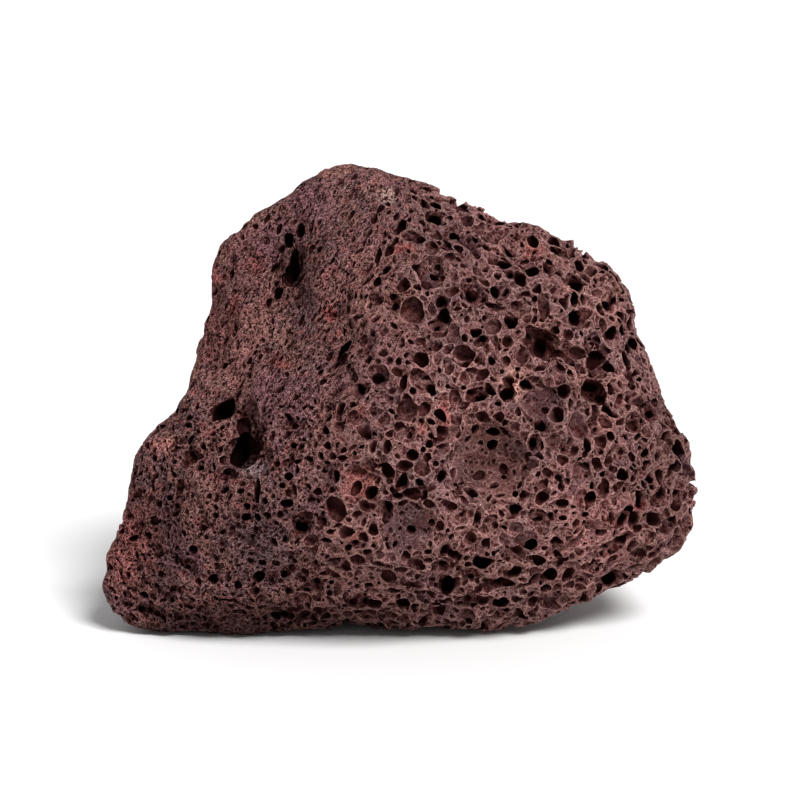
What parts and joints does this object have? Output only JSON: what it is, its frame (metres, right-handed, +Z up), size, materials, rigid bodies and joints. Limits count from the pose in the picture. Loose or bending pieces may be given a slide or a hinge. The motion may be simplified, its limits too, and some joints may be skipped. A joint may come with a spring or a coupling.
{
  "type": "lava rock",
  "caption": "Broken lump of red-brown lava rock (scoria) riddled with gas pits, with a broad front face, a crest towards the upper left, a lobe at the lower left and a flat underside.",
  "frame": {"origin": "on the ground under the middle of the rock's box", "axes": "+X to the right along the rock's longest extent, seen from its broad broken front; +Y to the back; +Z up"},
  "size_m": [0.0997, 0.0686, 0.0774],
  "materials": {
    "scoria": "dull, rough, pitted with gas bubbles"
  },
  "bodies": {
    "root": {"lava_rock": "scoria"}
  },
  "joints": []
}
